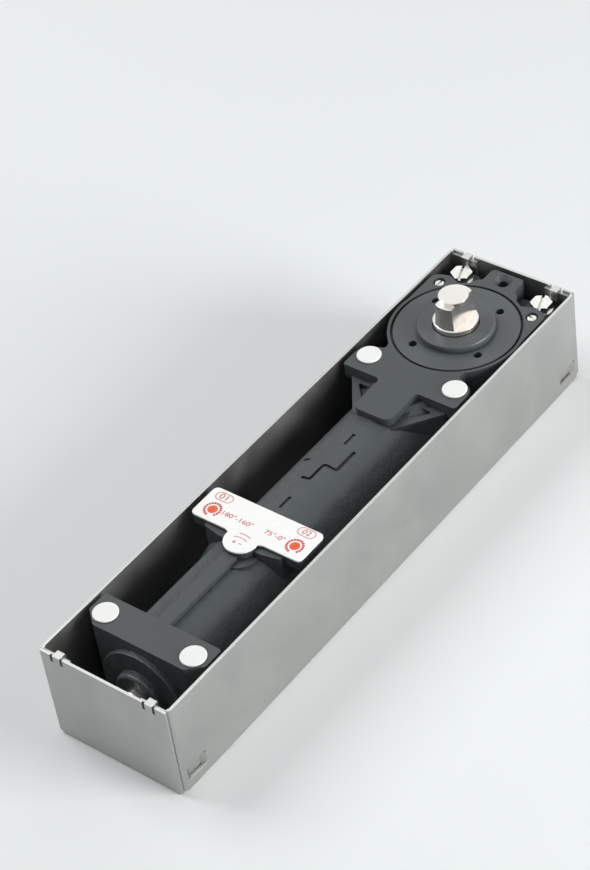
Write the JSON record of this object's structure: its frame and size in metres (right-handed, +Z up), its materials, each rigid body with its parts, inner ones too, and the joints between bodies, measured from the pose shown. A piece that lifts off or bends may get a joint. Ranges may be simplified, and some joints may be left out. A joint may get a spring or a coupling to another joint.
{
  "type": "floor spring door closer",
  "caption": "Floor spring door closer: a cast closer with a tapered drive spindle, levelled in a folded steel floor box.",
  "frame": {"origin": "underside of the floor box, straight below the spindle's axis", "axes": "+X along the box to its spindle end, +Y across the box, +Z up along the spindle"},
  "size_m": [0.34, 0.078, 0.0796],
  "materials": {
    "zinc_sheet": "semi-matt zinc-plated folded sheet",
    "dark_cast_iron": "dark grey cast iron, machined on top",
    "zinc_steel": "bright zinc-plated steel",
    "ground_steel": "ground and polished steel",
    "hardened_steel": "ground hardened steel, oiled",
    "bronze": "plain bearing bronze",
    "black_rubber": "oil-resistant rubber",
    "white_cap": "white plastic",
    "printed_plate": null
  },
  "bodies": {
    "housing": {"cement_box": "zinc_sheet", "fixing_bar": "zinc_sheet", "closer_body": "dark_cast_iron", "levelling_screws": "zinc_steel", "screw_caps": "white_cap", "fixing_bolts": "zinc_steel", "bolt_washers": "zinc_steel", "cover_disc": "dark_cast_iron", "cover_seal": "black_rubber", "spindle_seal": "black_rubber", "upper_bush": "bronze", "lower_bearing_outer_ring": "hardened_steel", "end_plug": "dark_cast_iron", "end_plug_seal": "black_rubber", "power_screw_seal": "black_rubber", "label_plate": "printed_plate", "oil_filler_plug": "zinc_steel", "oil_filler_washer": "bronze"},
    "spindle_set": {"spindle": "ground_steel", "heart_cam": "hardened_steel", "cam_key": "hardened_steel", "cam_circlip": "hardened_steel", "lower_bearing_inner_ring": "hardened_steel"},
    "ball_cage": {"lower_bearing_cage": "bronze", "lower_bearing_balls": "hardened_steel"},
    "piston_set": {"piston": "hardened_steel", "piston_ring": "black_rubber", "cam_fork": "hardened_steel", "fork_pin": "hardened_steel", "roller_pin": "hardened_steel", "check_valve_screw": "bronze"},
    "roller": {"cam_roller": "hardened_steel"},
    "check_ball": {"check_valve_ball": "hardened_steel"},
    "spring_set": {"spring_seat": "hardened_steel", "main_spring": "hardened_steel"},
    "power_adjuster": {"power_screw": "zinc_steel"},
    "valve_01_lift": {"valve_01_seal": "black_rubber"},
    "valve_01_turning": {"valve_01_screw": "zinc_steel"},
    "valve_02_lift": {"valve_02_seal": "black_rubber"},
    "valve_02_turning": {"valve_02_screw": "zinc_steel"}
  },
  "joints": [
    {"name": "spindle_turn", "type": "hinge", "parent": "housing", "child": "spindle_set", "pos_m": [0, 0, 0.06], "axis": [0, 0, 1], "range_deg": [0, 180], "stiffness_Nm_per_rad": 5},
    {"name": "cage_turn", "type": "hinge", "parent": "housing", "child": "ball_cage", "pos_m": [0, 0, 0.0102], "axis": [0, 0, 1], "range_deg": [0, 72]},
    {"name": "piston_slide", "type": "slide", "parent": "housing", "child": "piston_set", "axis": [-1, 0, 0], "range_m": [0, 0.0161], "deforming": ["main_spring"]},
    {"name": "roller_spin", "type": "hinge", "parent": "piston_set", "child": "roller", "pos_m": [-0.0225, 0, 0.0283], "axis": [0, 0, 1], "continuous": true},
    {"name": "check_ball_lift", "type": "slide", "parent": "piston_set", "child": "check_ball", "axis": [1, 0, 0], "range_m": [0, 0.0012]},
    {"name": "spring_seat_slide", "type": "slide", "parent": "housing", "child": "spring_set", "axis": [1, 0, 0], "range_m": [0, 0.007]},
    {"name": "power_screw_turn", "type": "hinge", "parent": "spring_set", "child": "power_adjuster", "pos_m": [-0.27, 0, 0.0283], "axis": [1, 0, 0], "range_deg": [0, 1440.1]},
    {"name": "valve_01_rise", "type": "slide", "parent": "housing", "child": "valve_01_lift", "axis": [0, 0, 1], "range_m": [0, 0.0015]},
    {"name": "valve_01_turn", "type": "hinge", "parent": "valve_01_lift", "child": "valve_01_turning", "pos_m": [0.0263, 0.02915, 0.055], "axis": [0, 0, 1], "range_deg": [0, 720.1]},
    {"name": "valve_02_rise", "type": "slide", "parent": "housing", "child": "valve_02_lift", "axis": [0, 0, 1], "range_m": [0, 0.0015]},
    {"name": "valve_02_turn", "type": "hinge", "parent": "valve_02_lift", "child": "valve_02_turning", "pos_m": [0.0263, -0.02915, 0.055], "axis": [0, 0, 1], "range_deg": [0, 720.1]}
  ],
  "couplings": [
    {"joint": "piston_slide", "follows": "spindle_turn", "m_per_rad": 0.005093},
    {"joint": "cage_turn", "follows": "spindle_turn", "ratio": 0.398},
    {"joint": "power_screw_turn", "follows": "spring_seat_slide", "rad_per_m": 3590.4},
    {"joint": "valve_01_turn", "follows": "valve_01_rise", "rad_per_m": 8377.6},
    {"joint": "valve_02_turn", "follows": "valve_02_rise", "rad_per_m": 8377.6}
  ]
}
